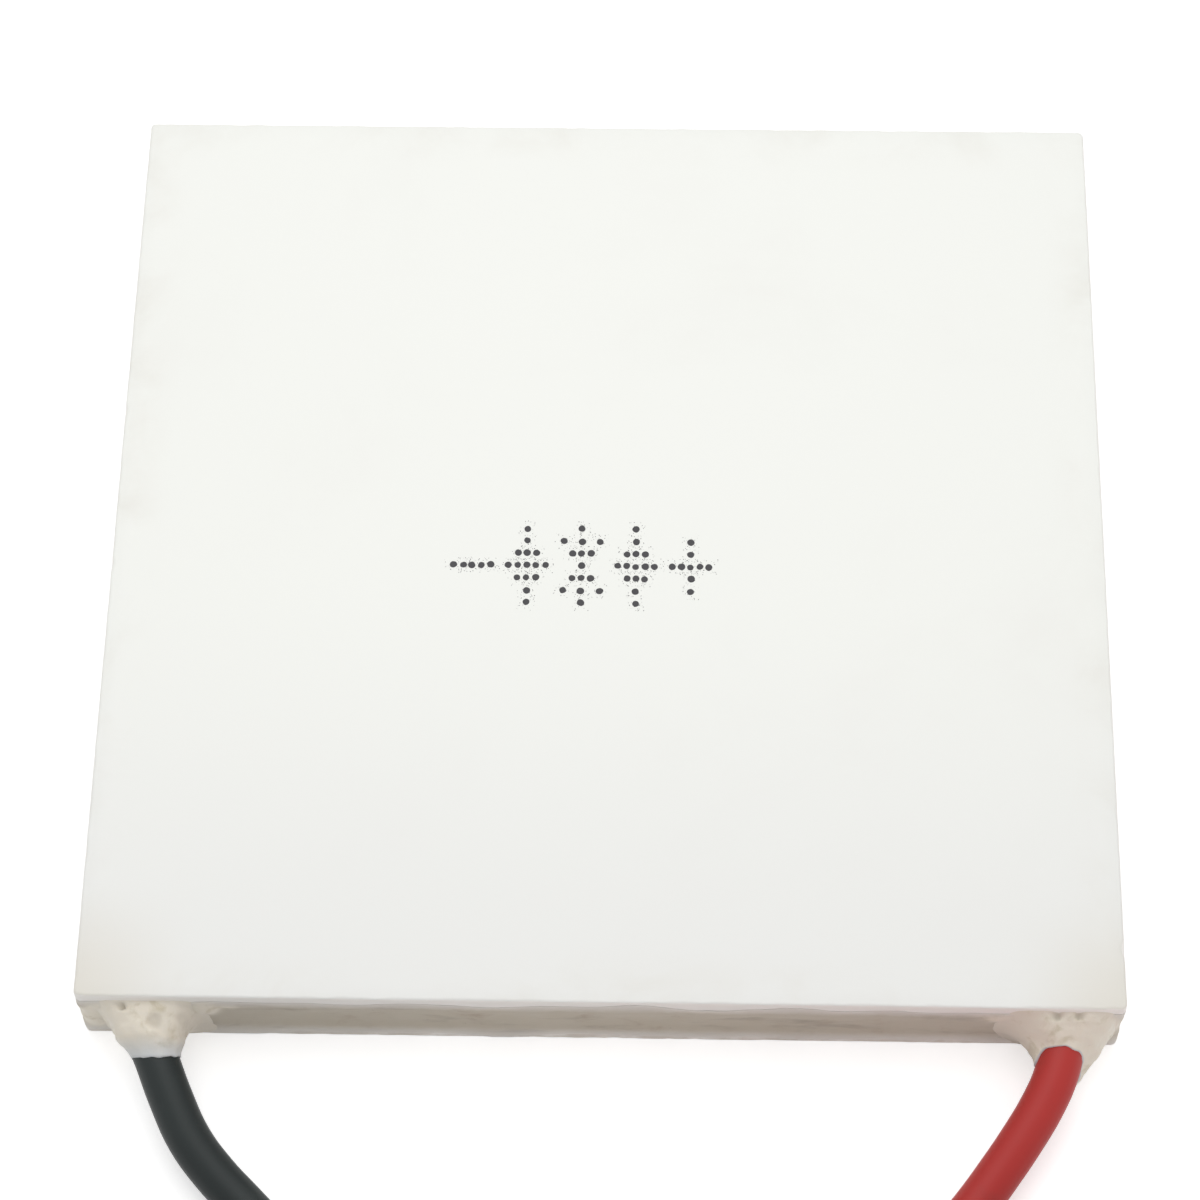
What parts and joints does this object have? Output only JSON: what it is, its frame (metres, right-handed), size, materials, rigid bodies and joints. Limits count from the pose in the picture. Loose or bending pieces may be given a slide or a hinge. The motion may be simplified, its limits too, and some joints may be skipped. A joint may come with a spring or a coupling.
{
  "type": "thermoelectric cooling module",
  "caption": "Flat square Peltier module: white ceramic plates over a sealed chain of semiconductor couples, with a red and a black wire lead from one edge",
  "frame": {"origin": "middle of the hot plate's outer face, which the module rests on", "axes": "+Z from the hot face to the cold face, -Y towards the edge that the leads leave, +X towards the red lead"},
  "size_m": [0.0491, 0.0904, 0.0075],
  "materials": {
    "alumina": "matte",
    "copper": "satin",
    "p_type": "satin",
    "n_type": "satin",
    "solder": "satin",
    "silicone": "matte",
    "tinned_copper": "satin",
    "paper": "matte",
    "black_pvc": "satin",
    "red_pvc": "satin"
  },
  "bodies": {
    "root": {"hot_plate": "alumina", "cold_plate": "alumina", "hot_tabs_1": "copper", "hot_tabs_2": "copper", "hot_tabs_3": "copper", "hot_tabs_4": "copper", "hot_tabs_5": "copper", "hot_tabs_6": "copper", "hot_tabs_7": "copper", "hot_tabs_8": "copper", "p_pellets_1": "p_type", "p_pellets_2": "p_type", "p_pellets_3": "p_type", "p_pellets_4": "p_type", "p_pellets_5": "p_type", "p_pellets_6": "p_type", "p_pellets_7": "p_type", "p_pellets_8": "p_type", "n_pellets_1": "n_type", "n_pellets_2": "n_type", "n_pellets_3": "n_type", "n_pellets_4": "n_type", "n_pellets_5": "n_type", "n_pellets_6": "n_type", "n_pellets_7": "n_type", "n_pellets_8": "n_type", "cold_tabs_1": "copper", "cold_tabs_2": "copper", "cold_tabs_3": "copper", "cold_tabs_4": "copper", "cold_tabs_5": "copper", "cold_tabs_6": "copper", "cold_tabs_7": "copper", "cold_tabs_8": "copper", "hot_solder": "solder", "cold_solder": "solder", "edge_seal": "silicone", "black_lead_seal": "silicone", "black_lead_joint": "solder", "black_conductor": "tinned_copper", "black_lead": "black_pvc", "black_lead_coil": "black_pvc", "black_lead_tie": "paper", "black_lead_tail": "black_pvc", "black_lead_tip": "tinned_copper", "red_lead_seal": "silicone", "red_lead_joint": "solder", "red_conductor": "tinned_copper", "red_lead": "red_pvc", "red_lead_coil": "red_pvc", "red_lead_tie": "paper", "red_lead_tail": "red_pvc", "red_lead_tip": "tinned_copper"}
  },
  "joints": []
}
